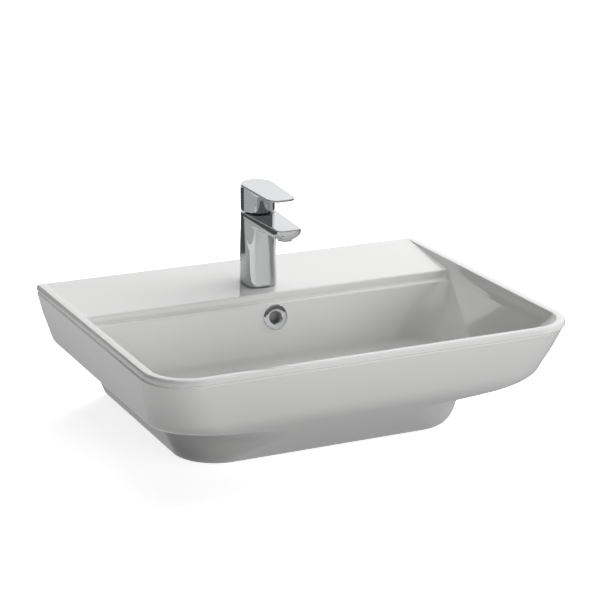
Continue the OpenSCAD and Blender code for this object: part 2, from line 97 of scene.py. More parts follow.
def mount(name: str) -> Vector:
    """Place of one of the record's mounts.

    Args:
        name: Name of the mount.

    Returns:
        Its place in metres.
    """
    for entry in frame["record"]["mounts"]:
        if entry["name"] == name:
            return Vector(entry["pos_m"])
    raise ValueError(f"no mount called {name}")


def frames() -> tuple[Frame, Frame]:
    """Frames of the rim and the tap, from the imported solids.

    Returns:
        The rim frame (top of the rim at the wall) and the tap frame (deck surface on the tap's axis).
    """
    low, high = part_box("basin")
    rim = Frame((low[0] + high[0]) / 2, high[1], high[2])
    dome_low, dome_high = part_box("dome_ring")
    inlet_depth = 8.5 * MM
    return rim, Frame(rim.x, (dome_low[1] + dome_high[1]) / 2, mount("hot_inlet").z - inlet_depth)


# ---- paths and rings ----------------------------------------------------------------------


def unit(a: Flat, b: Flat) -> Flat:
    """Unit vector from a to b."""
    d = math.dist(a, b)
    return ((b[0] - a[0]) / d, (b[1] - a[1]) / d)


def moved(path: Sequence[Flat], t: float) -> list[Flat]:
    """A path moved sideways, with its corners kept sharp.

    Args:
        path: The path's points.
        t: How far it moves to its left.

    Returns:
        The moved path.
    """
    out: list[Flat] = []
    last = len(path) - 1
    for i, p in enumerate(path):
        before = unit(path[max(i - 1, 0)], path[max(i, 1)])
        after = unit(path[min(i, last - 1)], path[min(i + 1, last)])
        n1, n2 = (-before[1], before[0]), (-after[1], after[0])
        k = t / (1 + n1[0] * n2[0] + n1[1] * n2[1])
        out.append((p[0] + (n1[0] + n2[0]) * k, p[1] + (n1[1] + n2[1]) * k))
    return out


def rounded(a: Flat, b: Flat, c: Flat, r: float, n: int) -> list[Flat]:
    """The arc that rounds corner b between a and c.

    Args:
        a: Point before the corner.
        b: The corner.
        c: Point after the corner.
        r: Radius of the arc.
        n: Number of steps along it.

    Returns:
        Its n + 1 points.
    """
    u, v = unit(b, a), unit(b, c)
    half = math.acos(u[0] * v[0] + u[1] * v[1]) / 2
    turn = math.pi - 2 * half
    m = math.hypot(u[0] + v[0], u[1] + v[1])
    k = r / math.sin(half) / m
    centre = (b[0] + (u[0] + v[0]) * k, b[1] + (u[1] + v[1]) * k)
    reach = r / math.tan(half)
    s = (b[0] + u[0] * reach - centre[0], b[1] + u[1] * reach - centre[1])
    e = (b[0] + v[0] * reach - centre[0], b[1] + v[1] * reach - centre[1])
    points: list[Flat] = []
    for i in range(n + 1):
        w = turn * i / n
        p, q = math.sin(turn - w) / math.sin(turn), math.sin(w) / math.sin(turn)
        points.append((centre[0] + s[0] * p + e[0] * q, centre[1] + s[1] * p + e[1] * q))
    return points


def at_heights(a: Flat, b: Flat, heights: Iterable[float]) -> list[Flat]:
    """The points of segment a-b at the listed heights."""
    return [(a[0] + (b[0] - a[0]) * (z - a[1]) / (b[1] - a[1]), z) for z in heights]


def eased(x: float, table: Sequence[Flat]) -> float:
    """A smooth curve through a table of values.

    Args:
        x: Where it is read.
        table: Rising abscissas, each with its value.

    Returns:
        The value at x, held at the table's ends.
    """
    if x <= table[0][0]:
        return table[0][1]
    if x >= table[-1][0]:
        return table[-1][1]
    slopes: list[float] = []
    steps = [(b[1] - a[1]) / (b[0] - a[0]) for a, b in zip(table, table[1:])]
    for i in range(len(table)):
        if i in (0, len(table) - 1):
            slopes.append(0.0)
        else:
            s, t = steps[i - 1], steps[i]
            slopes.append(0.0 if s * t <= 0 else 2 * s * t / (s + t))
    i = max(j for j in range(len(table) - 1) if table[j][0] <= x)
    h = table[i + 1][0] - table[i][0]
    t = (x - table[i][0]) / h
    return (
        table[i][1] * (2 * t**3 - 3 * t**2 + 1)
        + slopes[i] * h * (t**3 - 2 * t**2 + t)
        + table[i + 1][1] * (3 * t**2 - 2 * t**3)
        + slopes[i + 1] * h * (t**3 - t**2)
    )


@dataclass(frozen=True)
class Ring:
    """A closed rounded rectangle, mirrored about x = 0, whose height may differ at its sides, front and back.

    Args:
        half: Half width.
        front: Distance of its front from y = 0, towards -Y.
        back: Distance of its back from y = 0, towards -Y.
        r_front: Radius of its front corners.
        r_back: Radius of its back corners.
        z_side: Height of its sides.
        z_front: Height of its front.
        z_back: Height of its back.
    """

    half: float
    front: float
    back: float
    r_front: float
    r_back: float
    z_side: float
    z_front: float
    z_back: float

    def points(self, steps: int) -> list[Point]:
        """The ring's points.

        Args:
            steps: Steps in each corner.

        Returns:
            The points, clockwise from the middle of the back as seen from above.
        """
        right: list[Point] = [(0.0, -self.back, self.z_back)]
        for i in range(steps + 1):
            t = math.pi / 2 * i / steps
            right.append(
                (
                    self.half - self.r_back + self.r_back * math.sin(t),
                    -self.back - self.r_back + self.r_back * math.cos(t),
                    self.z_back + (self.z_side - self.z_back) * i / steps,
                )
            )
        middle = -(self.back + self.r_back + self.front - self.r_front) / 2
        right.append((self.half, middle, self.z_side))
        for i in range(steps + 1):
            t = math.pi / 2 * i / steps
            right.append(
                (
                    self.half - self.r_front + self.r_front * math.cos(t),
                    -self.front + self.r_front - self.r_front * math.sin(t),
                    self.z_side + (self.z_front - self.z_side) * i / steps,
                )
            )
        right.append((0.0, -self.front, self.z_front))
        return right + [(-p[0], p[1], p[2]) for p in reversed(right[1:-1])]


def level(half: float, front: float, back: float, r_front: float, r_back: float, z: float) -> Ring:
    """A ring that lies level at height z."""
    return Ring(half, front, back, r_front, r_back, z, z, z)


# ---- meshes -------------------------------------------------------------------------------


def solid(
    name: str, place: Frame, rings: Sequence[Sequence[Point]], flat: bool = True
) -> bpy.types.Object:
    """A closed solid through rings of equally many points.

    Args:
        name: Name of the object.
        place: Frame that the points are given in.
        rings: The rings, from one end to the other.
        flat: Whether its ends are flat; other ends are closed by a fan about their middle.

    Returns:
        The new object.
    """
    mesh = bmesh.new()
    rows = [[mesh.verts.new(place.place(p)) for p in ring] for ring in rings]
    n = len(rows[0])
    for low, high in zip(rows, rows[1:]):
        for i in range(n):
            k = (i + 1) % n
            mesh.faces.new((low[i], low[k], high[k], high[i]))
    for row in (rows[0][::-1], rows[-1]):
        if flat:
            mesh.faces.new(row)
            continue
        middle = mesh.verts.new(sum((v.co for v in row), Vector()) / n)
        for i in range(n):
            mesh.faces.new((row[i], row[(i + 1) % n], middle))
    bmesh.ops.remove_doubles(mesh, verts=mesh.verts, dist=WELD)
    bmesh.ops.dissolve_degenerate(mesh, edges=mesh.edges, dist=SLIVER)
    bmesh.ops.recalc_face_normals(mesh, faces=mesh.faces)
    return new_object(name, mesh)


def new_object(name: str, mesh: bmesh.types.BMesh) -> bpy.types.Object:
    """An object that holds the mesh, which is used up.

    Args:
        name: Name of the object.
        mesh: The mesh, in metres.

    Returns:
        The linked object.
    """
    data = bpy.data.meshes.new(name)
    mesh.to_mesh(data)
    mesh.free()
    obj = bpy.data.objects.new(name, data)
    bpy.context.scene.collection.objects.link(obj)
    return obj


def circle(radius: float, steps: int) -> list[Vector]:
    """Points of a circle about the origin, in the plane z = 0."""
    angles = [2 * math.pi * i / steps for i in range(steps)]
    return [Vector((radius * math.cos(a), radius * math.sin(a), 0)) for a in angles]


def rod(place: Frame, start: Point, end: Point, radius: float, steps: int = 64) -> bpy.types.Object:
    """A plain rod that cuts a bore.

    Args:
        place: Frame that the points are given in.
        start: Middle of its first end.
        end: Middle of its other end.
        radius: Its radius.
        steps: Steps round it.

    Returns:
        The cutter.
    """
    a, b = Vector(start), Vector(end)
    turn = (b - a).to_track_quat("Z", "Y").to_matrix()
    rings = [[tuple(middle + turn @ p) for p in circle(radius, steps)] for middle in (a, b)]
    return solid("cutter", place, rings)


def block(place: Frame, low: Point, high: Point) -> bpy.types.Object:
    """A plain block that cuts or joins."""
    corners = [(low[0], low[1]), (high[0], low[1]), (high[0], high[1]), (low[0], high[1])]
    return solid("cutter", place, [[(x, y, z) for x, y in corners] for z in (low[2], high[2])])


class Join(Enum):
    """Ways to combine two solids."""

    CUT = "DIFFERENCE"
    ADD = "UNION"
    COMMON = "INTERSECT"


def combine(target: bpy.types.Object, tools: Iterable[bpy.types.Object], how: Join) -> bpy.types.Object:
    """Combines a solid with others, which are used up.

    Args:
        target: The solid that changes.
        tools: The other solids.
        how: How they are combined.

    Returns:
        The target.
    """
    for tool in tools:
        step = target.modifiers.new("combine", "BOOLEAN")
        step.operation = how.value
        step.solver = "EXACT"
        step.object = tool
        graph = bpy.context.evaluated_depsgraph_get()
        result = bpy.data.meshes.new_from_object(target.evaluated_get(graph))
        target.modifiers.clear()
        target.data = result
        bpy.data.objects.remove(tool)
    return target


def smooth(obj: bpy.types.Object, limit: float) -> None:
    """Shades a solid smoothly between its sharp edges.

    Args:
        obj: The solid.
        limit: Edges that turn more than this, in degrees, stay sharp.
    """
    mesh = bmesh.new()
    mesh.from_mesh(obj.data)
    bmesh.ops.remove_doubles(mesh, verts=mesh.verts, dist=0.005 * MM)
    bmesh.ops.dissolve_degenerate(mesh, edges=mesh.edges, dist=0.001 * MM)
    for face in mesh.faces:
        face.smooth = True
    for edge in mesh.edges:
        edge.smooth = len(edge.link_faces) == 2 and edge.calc_face_angle(0.0) < math.radians(limit)
    mesh.to_mesh(obj.data)
    mesh.free()
    weigh = obj.modifiers.new("even_normals", "WEIGHTED_NORMAL")
    weigh.mode = "FACE_AREA"
    weigh.weight = 80
    weigh.keep_sharp = True


class Field:
    """A form given by a signed distance, negative inside, in millimetres of a local frame."""

    even_rounds = 5
    rounds = 8
    probe = 0.02

    def __init__(self, name: str, place: Frame, low: Point, high: Point, step: float) -> None:
        """Sets up the grid.

        Args:
            name: Name of the object that the form becomes.
            place: Frame of the form.
            low: Lowest corner of the grid.
            high: Highest corner of the grid.
            step: Width of a cell.
        """
        self.name, self.place, self.step = name, place, step
        self.low = np.array(low, dtype=float)
        self.counts = [int(math.ceil((high[i] - low[i]) / step)) + 1 for i in range(3)]
        self.cells = tuple(n - 1 for n in self.counts)

    def surface(self, form: Form) -> bpy.types.Object:
        """Finds the form's surface as a mesh of small quads.

        Args:
            form: Signed distance of points given by their x, y and z.

        Returns:
            The new object.
        """
        axes = [self.low[i] + self.step * np.arange(self.counts[i]) for i in range(3)]
        values = form(*np.meshgrid(*axes, indexing="ij", sparse=True))
        inside = values < 0
        points, index = self.points(values, inside)
        faces = self.quads(inside, index)
        points = self.settle(points, faces, form)
        metres = points * MM + np.array([self.place.x, self.place.y, self.place.z])
        data = bpy.data.meshes.new(self.name)
        data.from_pydata(metres.tolist(), [], faces.tolist())
        data.polygons.foreach_set("use_smooth", [True] * len(faces))
        data.update()
        obj = bpy.data.objects.new(self.name, data)
        bpy.context.scene.collection.objects.link(obj)
        return obj

    def points(self, values: np.ndarray, inside: np.ndarray) -> tuple[np.ndarray, np.ndarray]:
        """One point in each cell that the surface crosses.

        Args:
            values: The form at the corners of the cells.
            inside: Where it is negative.

        Returns:
            The points, and each cell's place among them, -1 where it has none.
        """
        total, hits = np.zeros(self.cells + (3,)), np.zeros(self.cells)
        edges = [(axis, a, b) for axis in range(3) for a in (0, 1) for b in (0, 1)]
        for axis, a, b in edges:
            near = [0, 0, 0]
            near[(axis + 1) % 3], near[(axis + 2) % 3] = a, b
            far = list(near)
            far[axis] = 1
            at = [tuple(slice(o[i], o[i] + self.cells[i]) for i in range(3)) for o in (near, far)]
            v0, v1 = values[at[0]], values[at[1]]
            crossed = inside[at[0]] != inside[at[1]]
            t = np.where(crossed, v0 / np.where(crossed, v0 - v1, 1.0), 0.0)
            hits += crossed
            for i in range(3):
                total[..., i] += crossed * (near[i] + (t if i == axis else 0.0))
        used = hits > 0
        index = np.full(self.cells, -1)
        index[used] = np.arange(int(used.sum()))
        base = np.argwhere(used)
        return self.low + self.step * (base + total[used] / hits[used][:, None]), index

    def quads(self, inside: np.ndarray, index: np.ndarray) -> np.ndarray:
        """One quad across each edge of the grid that the surface crosses, facing outwards.

        Args:
            inside: Where the form is negative.
            index: Each cell's place among the points.

        Returns:
            The quads.
        """
        quads = []
        for axis in range(3):
            j, k = (axis + 1) % 3, (axis + 2) % 3
            at = [slice(0, self.counts[i]) for i in range(3)]
            following = list(at)
            at[axis], following[axis] = slice(0, self.cells[axis]), slice(1, self.counts[axis])
            for i in (j, k):
                at[i] = following[i] = slice(1, self.cells[i])
            change = inside[tuple(at)] != inside[tuple(following)]
            where = np.argwhere(change)
            leaving = inside[tuple(at)][change]
            where[:, j] += 1
            where[:, k] += 1
            corner = []
            for dj, dk in ((1, 1), (0, 1), (0, 0), (1, 0)):
                c = where.copy()
                c[:, j] -= dj
                c[:, k] -= dk
                corner.append(index[c[:, 0], c[:, 1], c[:, 2]])
            faces = np.stack(corner, axis=1)
            faces[~leaving] = faces[~leaving][:, ::-1]
            quads.append(faces)
        return np.concatenate(quads)

    def gradient(self, at: Sequence[np.ndarray], form: Form) -> np.ndarray:
        """Slope of the form at points.

        Args:
            at: The points' x, y and z.
            form: Signed distance of the form.

        Returns:
            The slopes along the three axes.
        """
        e = self.probe
        parts = []
        for i in range(3):
            ahead = form(*[p + e * (i == j) for j, p in enumerate(at)])
            behind = form(*[p - e * (i == j) for j, p in enumerate(at)])
            parts.append((ahead - behind) / (2 * e))
        return np.stack(parts, axis=1)

    def settle(self, points: np.ndarray, faces: np.ndarray, form: Form) -> np.ndarray:
        """Evens the points out and brings them onto the surface.

        Args:
            points: The points.
            faces: The quads.
            form: Signed distance of the form.

        Returns:
            The settled points.
        """
        for turn in range(self.rounds):
            if turn < self.even_rounds:
                total, count = np.zeros_like(points), np.zeros(len(points))
                for a in range(4):
                    np.add.at(total, faces[:, a], points[faces[:, (a + 1) % 4]])
                    np.add.at(count, faces[:, a], 1)
                points = points + 0.5 * (total / count[:, None] - points)
            at = [points[:, i] for i in range(3)]
            slope = self.gradient(at, form)
            square = np.maximum((slope**2).sum(axis=1), 0.05)
            move = (form(*at) / square)[:, None] * slope
            length = np.linalg.norm(move, axis=1, keepdims=True)
            points = points - move * np.minimum(1.0, self.step / np.maximum(length, 1e-9))
        return points


def joined(a: np.ndarray, b: np.ndarray, k: float) -> np.ndarray:
    """Distance of two forms joined with a fillet of about k."""
    h = np.maximum(k - np.abs(a - b), 0.0) / k
    return np.minimum(a, b) - h * h * k / 4


def cut(a: np.ndarray, b: np.ndarray, k: float) -> np.ndarray:
    """Distance of form a without form b, with the edge softened by about k."""
    return common(a, -b, k)


def common(a: np.ndarray, b: np.ndarray, k: float) -> np.ndarray:
    """Distance of what two forms share, with the edge softened by about k."""
    h = np.maximum(k - np.abs(a - b), 0.0) / k
    return np.maximum(a, b) + h * h * k / 4


def corner_field(dx: Values, dy: Values, r: Values) -> np.ndarray:
    """Distance in a plane from an edge rounded by r, given the distances past the start of its corner."""
    return np.hypot(np.maximum(dx, 0), np.maximum(dy, 0)) + np.minimum(np.maximum(dx, dy), 0) - r


def box_field(x: np.ndarray, y: np.ndarray, half_x: Values, half_y: Values, r: Values) -> np.ndarray:
    """Distance in a plane from a rectangle with rounded corners, centred at the origin.

    Args:
        x: First coordinate.
        y: Second coordinate.
        half_x: Half width.
        half_y: Half height.
        r: Radius of the corners.

    Returns:
        The signed distance.
    """
    return corner_field(np.abs(x) - half_x + r, np.abs(y) - half_y + r, r)


# ---- finishes -----------------------------------------------------------------------------


def add(tree: bpy.types.NodeTree, kind: str, given: dict[str | int, object]) -> bpy.types.Node:
    """Adds a node to a tree and fills its inputs.

    Args:
        tree: The tree.
        kind: Type of the node.
        given: For an input's name or number, either a value or a socket to link to it.

    Returns:
        The node.
    """
    node = tree.nodes.new(kind)
    for key, value in given.items():
        if isinstance(value, bpy.types.NodeSocket):
            tree.links.new(value, node.inputs[key])
        else:
            node.inputs[key].default_value = value
    return node


def variation_group() -> bpy.types.NodeTree:
    """The shader group that every finish shares: slow and fine noise in the object's own space.

    Returns:
        A group with outputs Broad and Fine, both about 0.5, and a Height made from them.
    """
    name = "surface_variation"
    if name in bpy.data.node_groups:
        return bpy.data.node_groups[name]
    tree = bpy.data.node_groups.new(name, "ShaderNodeTree")
    for label, value in (("Broad Scale", 12.0), ("Fine Scale", 300.0), ("Stretch", 1.0)):
        socket = tree.interface.new_socket(name=label, in_out="INPUT", socket_type="NodeSocketFloat")
        socket.default_value = value
    for label in ("Broad", "Fine", "Height"):
        tree.interface.new_socket(name=label, in_out="OUTPUT", socket_type="NodeSocketFloat")
    given, place = tree.nodes.new("NodeGroupInput"), tree.nodes.new("ShaderNodeTexCoord")
    squeeze = add(tree, "ShaderNodeCombineXYZ", {0: 1.0, 1: 1.0, 2: given.outputs["Stretch"]})
    spread = add(tree, "ShaderNodeVectorMath", {0: place.outputs["Object"], 1: squeeze.outputs[0]})
    spread.operation = "MULTIPLY"
    noises = []
    for label, detail in (("Broad Scale", 3.0), ("Fine Scale", 4.0)):
        inputs = {"Detail": detail, "Vector": spread.outputs[0], "Scale": given.outputs[label]}
        noises.append(add(tree, "ShaderNodeTexNoise", inputs).outputs["Fac"])
    broad, fine = noises
    fine_share = 0.35
    height = add(tree, "ShaderNodeMath", {0: fine, 1: fine_share, 2: broad})
    height.operation = "MULTIPLY_ADD"
    add(tree, "NodeGroupOutput", {"Broad": broad, "Fine": fine, "Height": height.outputs[0]})
    return tree


@dataclass(frozen=True)
class Finish:
    """A finish made from one shader and the shared variation.

    Args:
        name: Name of the material.
        colour: Linear colour.
        shade: Second colour that it drifts to.
        metal: 1 for metal, 0 for anything else.
        gloss: Lowest and highest roughness.
        broad: Scale of the slow variation, per metre.
        fine: Scale of the fine variation, per metre.
        relief: Depth of the surface's unevenness, in millimetres.
        stretch: Factor on the variation along Z, above 1 for turned marks.
        coat: Weight of a clear coat.
        ior: Index of refraction.
    """

    name: str
    colour: Point
    shade: Point
    metal: float
    gloss: Flat
    broad: float = 12.0
    fine: float = 300.0
    relief: float = 0.0
    stretch: float = 1.0
    coat: float = 0.0
    ior: float = 1.5

    def material(self) -> bpy.types.Material:
        """The finish as a material, made once.

        Returns:
            The material.
        """
        if self.name in bpy.data.materials:
            return bpy.data.materials[self.name]
        made = bpy.data.materials.new(self.name)
        made.use_nodes = True
        tree = made.node_tree
        shader = tree.nodes["Principled BSDF"]
        vary = tree.nodes.new("ShaderNodeGroup")
        vary.node_tree = variation_group()
        for key, value in (("Broad Scale", self.broad), ("Fine Scale", self.fine), ("Stretch", self.stretch)):
            vary.inputs[key].default_value = value
        colour = tree.nodes.new("ShaderNodeMix")
        colour.data_type = "RGBA"
        colour.inputs[6].default_value = (*self.colour, 1)
        colour.inputs[7].default_value = (*self.shade, 1)
        tree.links.new(vary.outputs["Broad"], colour.inputs[0])
        tree.links.new(colour.outputs[2], shader.inputs["Base Color"])
        inputs = {"Value": vary.outputs["Fine"], "From Min": 0.3, "From Max": 0.7}
        inputs |= {"To Min": self.gloss[0], "To Max": self.gloss[1]}
        rough = add(tree, "ShaderNodeMapRange", inputs)
        tree.links.new(rough.outputs["Result"], shader.inputs["Roughness"])
        if self.relief:
            inputs = {"Strength": 1.0, "Distance": self.relief * MM, "Height": vary.outputs["Height"]}
            bump = add(tree, "ShaderNodeBump", inputs)
            tree.links.new(bump.outputs["Normal"], shader.inputs["Normal"])
        shader.inputs["Metallic"].default_value = self.metal
        shader.inputs["IOR"].default_value = self.ior
        shader.inputs["Coat Weight"].default_value = self.coat
        return made


class Finishes(Enum):
    """Every finish of the part."""

    GLAZE = Finish(
        "white_glaze", (0.84, 0.84, 0.83), (0.82, 0.82, 0.815), 0.0, (0.04, 0.08),
        broad=5.0, fine=90.0, relief=0.008, coat=1.0,
    )
    CHROME = Finish(
        "polished_chrome", (0.71, 0.72, 0.73), (0.68, 0.69, 0.70), 1.0, (0.03, 0.07),
        broad=20.0, fine=900.0,
    )
    RUBBER = Finish(
        "black_rubber", (0.020, 0.020, 0.021), (0.035, 0.035, 0.036), 0.0, (0.55, 0.75),
        broad=60.0, fine=1500.0, relief=0.05,
    )
    BRASS = Finish(
        "turned_brass", (0.60, 0.43, 0.17), (0.50, 0.35, 0.13), 1.0, (0.22, 0.38),
        broad=60.0, fine=2500.0, relief=0.02, stretch=8.0,
    )
    STEEL = Finish(
        "turned_steel", (0.50, 0.50, 0.51), (0.42, 0.42, 0.43), 1.0, (0.25, 0.42),
        broad=60.0, fine=2500.0, relief=0.02, stretch=8.0,
    )
    WHITE_PLASTIC = Finish(
        "white_plastic", (0.75, 0.75, 0.73), (0.70, 0.70, 0.68), 0.0, (0.35, 0.5),
        broad=40.0, fine=1200.0, relief=0.02,
    )
    BLUE_PLASTIC = Finish(
        "blue_plastic", (0.03, 0.09, 0.30), (0.025, 0.075, 0.26), 0.0, (0.3, 0.45),
        broad=40.0, fine=1200.0, relief=0.02,
    )
    GREY_PLASTIC = Finish(
        "grey_plastic", (0.22, 0.225, 0.23), (0.19, 0.195, 0.20), 0.0, (0.2, 0.3),
        broad=40.0, fine=1200.0, relief=0.01,
    )
    LAPPED = Finish(
        "lapped_disc", (0.85, 0.83, 0.78), (0.80, 0.78, 0.73), 0.0, (0.12, 0.2),
        broad=60.0, fine=1500.0, relief=0.005,
    )


SLOTS: dict[str, Finishes] = {
    "ceramic": Finishes.GLAZE,
    "chrome": Finishes.CHROME,
    "rubber": Finishes.RUBBER,
    "brass": Finishes.BRASS,
    "steel": Finishes.STEEL,
    "white_plastic": Finishes.WHITE_PLASTIC,
    "blue_plastic": Finishes.BLUE_PLASTIC,
    "grey_plastic": Finishes.GREY_PLASTIC,
    "disc_ceramic": Finishes.LAPPED,
}


def body_of(node: str) -> str:
    """Name of the body that a CAD node belongs to."""
    for body, nodes in frame["record"]["behaviour"]["bodies"].items():
        if node in nodes:
            return body
    raise ValueError(f"{node} is on no body")


def slot_of(node: str) -> str:
    """Name of a CAD node's material slot."""
    for part in frame["record"]["subparts"]:
        if part["node"] == node:
            return part["material_slot"]
    raise ValueError(f"{node} has no slot")


def stand_for(piece: bpy.types.Object, node: str) -> None:
    """Dresses a piece and puts it in the place of a CAD node.

    Args:
        piece: The piece.
        node: The CAD node that it stands for.
    """
    slot = slot_of(node)
    piece.data.materials.clear()
    piece.data.materials.append(SLOTS[slot].value.material())
    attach(piece, body_of(node))
    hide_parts(node)
    LOG.info("%s: %d faces, for %s", piece.name, len(piece.data.polygons), node)


# ---- basin --------------------------------------------------------------------------------


@dataclass
class Basin:
    """The glazed basin: outer form, rim, sloping deck, bowl, hollow underside and bores.

    Args:
        place: Frame of the rim.
        width: Overall width.
        depth: Overall depth.
        height: Overall height.
        wall: Thickness of the walls.
        fall: Slope of the deck.
        deck_front: Distance of the deck's front edge from the wall.
        drain_y: Distance of the drain from the wall.
        tap_y: Distance of the tap from the wall.
        floor_z: Height of the bowl's floor at the drain.
        boss_z: Height of the drain boss's underside.
        boss_r: Radius of the drain boss.
        groove_r: Radius of the groove that joins the overflow channel to the drain.
        recess_r: Radius of the recess round the drain's seat.
        seat_z: Height of the seat for the drain's flange.
        drain_rim: Radius at which the bowl's floor meets the recess.
        drain_r: Radius of the drain hole.
        tap_hole_r: Radius of the tap hole.
        tap_pad_r: Radius of the pad under the deck round the tap hole.
        overflow_r: Radius of the overflow hole.
        overflow_z: Height of its axis.
        bolt_x: Distance of a wall fixing hole from the middle.
        bolt_z: Height of the wall fixing holes.
        bolt_r: Radius of the wall fixing holes.
        bolt_pad_r: Radius of the pads round them.
        duct_bore: Half thickness and width of the overflow channel.
        duct_shell: Half thickness and width of the casting round it.
        bend: Radius of the bend between the bowl's walls and its floor.
        steps: Steps in each plan corner.
        coarse: The same for the solids that shape the hidden side.
    """

    place: Frame
    width: float = 600.0
    depth: float = 478.0
    height: float = 177.5
    wall: float = 12.0
    fall: float = math.tan(DECK_FALL)
    deck_front: float = 137.6
    drain_y: float = 282.0
    tap_y: float = 92.0
    floor_z: float = -120.0
    boss_z: float = -154.5
    boss_r: float = 36.0
    groove_r: float = 27.5
    recess_r: float = 33.0
    seat_z: float = -123.5
    drain_rim: float = 34.0
    drain_r: float = 23.0
    tap_hole_r: float = 17.5
    tap_pad_r: float = 32.0
    overflow_r: float = 12.0
    overflow_z: float = -44.5
    bolt_x: float = 140.0
    bolt_z: float = -58.0
    bolt_r: float = 8.0
    bolt_pad_r: float = 22.0
    duct_bore: Flat = (5.0, 24.0)
    duct_shell: Flat = (12.5, 40.0)
    bend: float = 32.0
    steps: int = 24
    coarse: int = 10

    outer_side: ClassVar[list[Flat]] = [
        (299.7, -12.0), (292.2, -42.0), (274.4, -96.0), (232.4, -101.0), (202.0, -177.5),
    ]
    outer_front: ClassVar[list[Flat]] = [(472.6, -12.0), (441.5, -85.0), (327.3, -177.5)]
    outer_radii: ClassVar[list[Flat]] = [
        (-177.5, 62.0), (-112.0, 146.0), (-98.0, 78.0), (-69.0, 67.0), (-10.0, 63.0),
    ]
    rim_section: ClassVar[list[Point]] = [
        (2.9, 3.5, 0.0), (1.6, 2.0, -0.4), (0.6, 0.8, -1.4), (0.0, 0.0, -3.2), (0.0, 0.0, -6.8),
        (0.3, 0.8, -7.7), (1.3, 3.6, -8.3), (1.9, 6.0, -9.2), (1.5, 6.4, -10.4),
    ]
    bowl_side: ClassVar[list[Flat]] = [(286.8, -2.2), (282.6, -14.0), (219.5, -105.5), (34.0, -120.0)]
    bowl_front: ClassVar[list[Flat]] = [(464.7, -2.2), (460.5, -14.0), (393.0, -112.0), (316.0, -120.0)]
    bowl_back: ClassVar[list[Flat]] = [(148.3, -27.7), (163.5, -111.0), (248.0, -120.0)]
    back_radii: ClassVar[list[Flat]] = [
        (-106.0, 46.0), (-60.0, 42.0), (-34.0, 22.0), (-20.0, 9.0), (-12.0, 4.0), (0.0, 3.0),
    ]
    front_radii: ClassVar[list[Flat]] = [(-106.0, 120.0), (-60.0, 74.0), (0.0, 50.0)]
    duct_line: ClassVar[list[Flat]] = [
        (133.0, -26.0), (145.0, -97.0), (157.0, -118.0), (181.0, -131.0), (258.0, -137.0),
    ]

    def outer_rings(self, t: float, fine: bool) -> list[Ring]:
        """Rings of the outer form, moved inwards, from the top down.

        Args:
            t: How far they are moved inwards.
            fine: Whether they are dense.

        Returns:
            The rings.
        """
        n1, n2, extra = (16, 12, [-50.0, -58.0, -66.0]) if fine else (5, 4, [-58.0])
        foot = -self.height - 2 if t > 0 else -self.height
        s, f = moved(self.outer_side, -t), moved(self.outer_front, -t)
        s1 = rounded(s[1], s[2], s[3], 27 - t / 2, n1)
        s2 = rounded(s[2], s[3], s[4], 15 + t / 2, n2)
        f1 = rounded(f[0], f[1], f[2], 70 - t, n1)
        tail = [-130.0, -152.0, foot]
        if fine:
            tail = [-125.0, -135.0, -145.0, -156.0, -166.0, foot + 4.0, foot + 1.2, foot]
        low = [p[1] for p in s2] + tail
        side = [s[0], s[1]] + at_heights(s[1], s[2], extra) + s1 + s2 + at_heights(s[3], s[4], tail)
        high = [s[1][1]] + [z - 2 for z in extra]
        front = [f[0]] + at_heights(f[0], f[1], high) + f1 + at_heights(f[1], f[2], low)
        back = self.wall + 2 if t > 0 else 0.0
        rings = []
        for i, (a, b) in enumerate(zip(side, front)):
            mean = (a[1] + b[1]) / 2
            tuck = {1: 3.2, 2: 0.9}.get(len(side) - i, 0.0) if fine else 0.0
            corner = eased(mean, self.outer_radii) + t - tuck
            rings.append(Ring(a[0] - tuck, b[0] - tuck, back, corner, 2.0, a[1], b[1], a[1]))
        return rings

    def rim_rings(self) -> list[Ring]:
        """Rings of the rim, from the top down."""
        half, corner = self.width / 2, 64.0
        return [level(half - a, self.depth - b, 0.0, corner, 2.0, z) for a, b, z in self.rim_section]

    def bowl_rings(self) -> list[Ring]:
        """Rings of the deck and the bowl, from the rim down to the drain."""
        top = -self.deck_front * self.fall
        front = self.deck_front
        lip = rounded((front - 30, top + 30 * self.fall), (front, top), (front, top - 20), 2.8, 8)
        ledge = rounded((front, -14.0), (front, -24.2), (front + 9, -24.6), 4, 8)
        step = rounded((front + 3, -24.4), (self.bowl_back[0][0] - 0.2, -24.6), self.bowl_back[1], 4, 8)
        wall_levels = [-34.0, -42.0, -51.0, -60.0, -69.0, -78.0]
        backs = lip + ledge + step + at_heights(self.bowl_back[0], self.bowl_back[1], wall_levels)
        side = [self.bowl_side[0]] + rounded(*self.bowl_side[:3], 60, 20)
        side += at_heights(self.bowl_side[1], self.bowl_side[2], [-40.0, -80.0])
        shift = self.bowl_front[0][0] - self.bowl_side[0][0]

        def half(z: float) -> float:
            """Half width of the bowl at height z."""
            for a, b in zip(side, side[1:]):
                if b[1] <= z <= a[1]:
                    return a[0] + (b[0] - a[0]) * (z - a[1]) / (b[1] - a[1])
            return side[0][0]

        def bowl(width: float, back: float, z: float) -> Ring:
            """A level ring of the bowl."""
            return level(width, width + shift, back, eased(z, self.front_radii), eased(z, self.back_radii), z)

